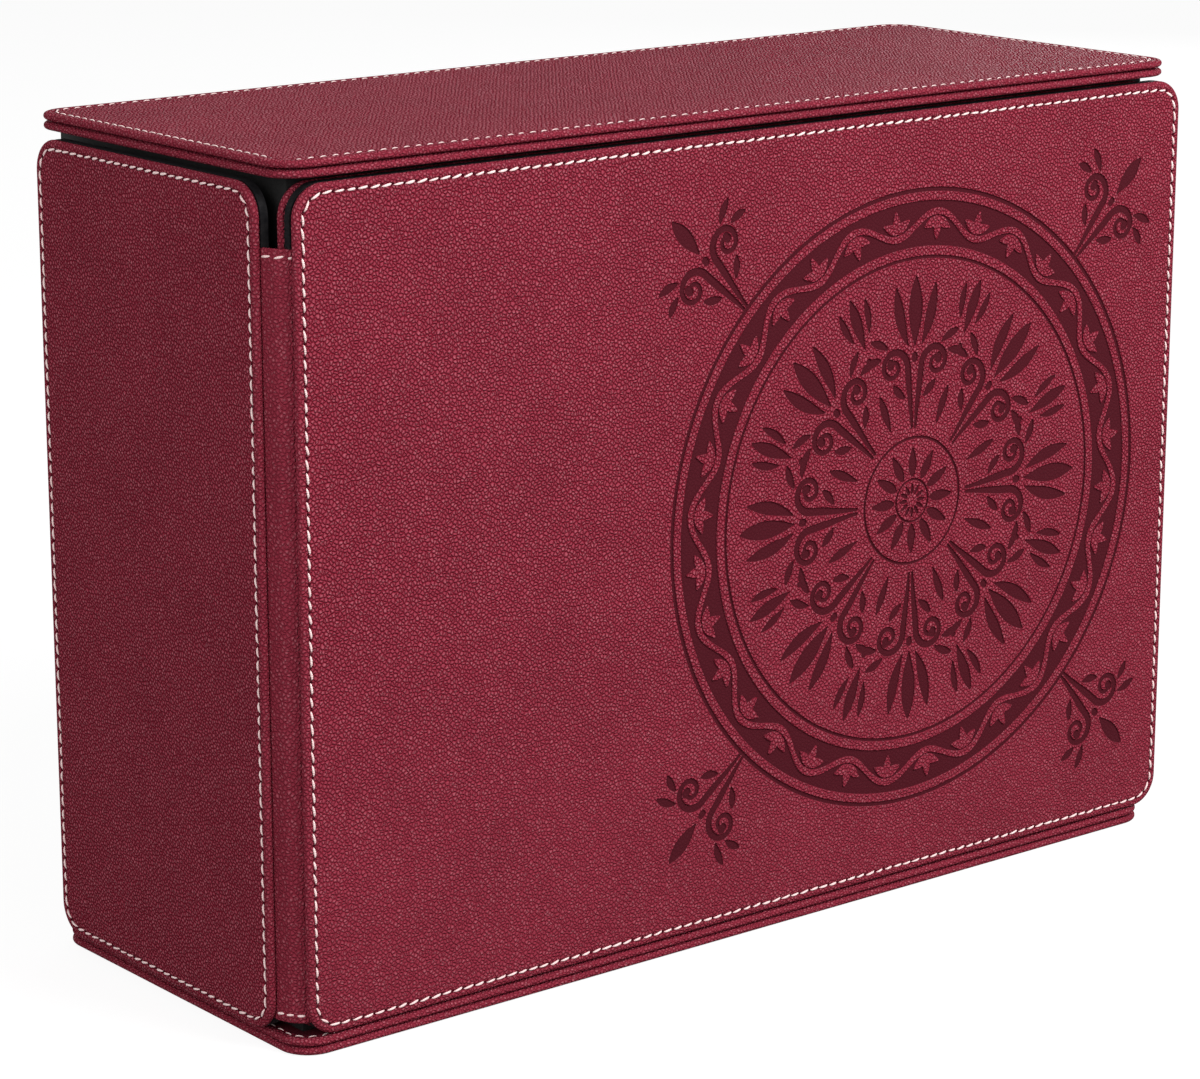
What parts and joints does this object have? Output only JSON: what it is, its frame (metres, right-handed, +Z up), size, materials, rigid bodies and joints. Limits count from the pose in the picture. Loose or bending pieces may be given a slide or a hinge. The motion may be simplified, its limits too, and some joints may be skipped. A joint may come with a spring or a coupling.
{
  "type": "card storage box",
  "caption": "Upright leatherette box for cards and game pieces, with a hinged lid over a tray and a folding side and front cover that closes over drawers.",
  "frame": {"origin": "centre of the footprint on the underside of the base", "axes": "+X to the right seen from the front, +Y to the back, +Z up"},
  "size_m": [0.3442, 0.127, 0.25],
  "materials": {
    "leatherette": "pebbled crimson imitation leather with pale stitching",
    "black_lining": "smooth black lining",
    "black_board": "board wrapped in matt black paper",
    "felt": "short black felt",
    "clear_film": "clear flexible film",
    "magnet": "plated"
  },
  "bodies": {
    "case": {"base_lower": "leatherette", "base_upper": "leatherette", "case_floor": "black_board", "left_wall": "black_board", "right_wall": "black_board", "back_wall": "black_board", "left_guide": "black_board", "right_guide": "black_board", "lower_shelf": "black_board", "upper_shelf": "black_board", "tray_floor": "black_board", "tray_front": "black_board", "tray_liner": "felt", "front_frame": "leatherette", "frame_magnets": "magnet", "right_cover": "leatherette", "back_cover": "leatherette", "back_lining": "black_lining"},
    "lid": {"lid_lower": "leatherette", "lid_upper": "leatherette", "lid_lining": "felt", "lid_strip": "leatherette"},
    "left_panel": {"left_cover": "leatherette", "left_lining": "black_lining", "left_film": "clear_film", "rear_strip": "leatherette"},
    "front_panel": {"front_cover": "leatherette", "front_lining": "black_lining", "front_film": "clear_film", "panel_magnets": "magnet", "front_strip": "leatherette"},
    "lower_drawer": {"lower_drawer_front": "leatherette", "lower_drawer_tray": "black_board", "lower_drawer_pull": "leatherette"},
    "middle_drawer": {"middle_drawer_front": "leatherette", "middle_drawer_tray": "black_board", "middle_drawer_pull": "leatherette"},
    "upper_drawer": {"upper_drawer_front": "leatherette", "upper_drawer_tray": "black_board", "upper_drawer_pull": "leatherette"}
  },
  "joints": [
    {"name": "lid_hinge", "type": "hinge", "parent": "case", "child": "lid", "pos_m": [0, 0.0592, 0.2437], "axis": [-1, 0, 0], "range_deg": [0, 100], "deforming": ["lid_strip"]},
    {"name": "left_hinge", "type": "hinge", "parent": "case", "child": "left_panel", "pos_m": [-0.1682, 0.0592, 0.125], "axis": [0, 0, -1], "range_deg": [0, 120], "deforming": ["rear_strip"]},
    {"name": "front_hinge", "type": "hinge", "parent": "left_panel", "child": "front_panel", "pos_m": [-0.1682, -0.0596, 0.125], "axis": [0, 0, -1], "range_deg": [0, 150], "deforming": ["front_strip"]},
    {"name": "lower_drawer_slide", "type": "slide", "parent": "case", "child": "lower_drawer", "axis": [0, -1, 0], "range_m": [0, 0.0702]},
    {"name": "middle_drawer_slide", "type": "slide", "parent": "case", "child": "middle_drawer", "axis": [0, -1, 0], "range_m": [0, 0.0502]},
    {"name": "upper_drawer_slide", "type": "slide", "parent": "case", "child": "upper_drawer", "axis": [0, -1, 0], "range_m": [0, 0.0302]}
  ],
  "couplings": [
    {"joint": "lower_drawer_slide", "follows": "front_hinge", "m_per_rad": 0.026738},
    {"joint": "middle_drawer_slide", "follows": "front_hinge", "m_per_rad": 0.019099},
    {"joint": "upper_drawer_slide", "follows": "front_hinge", "m_per_rad": 0.011459}
  ]
}
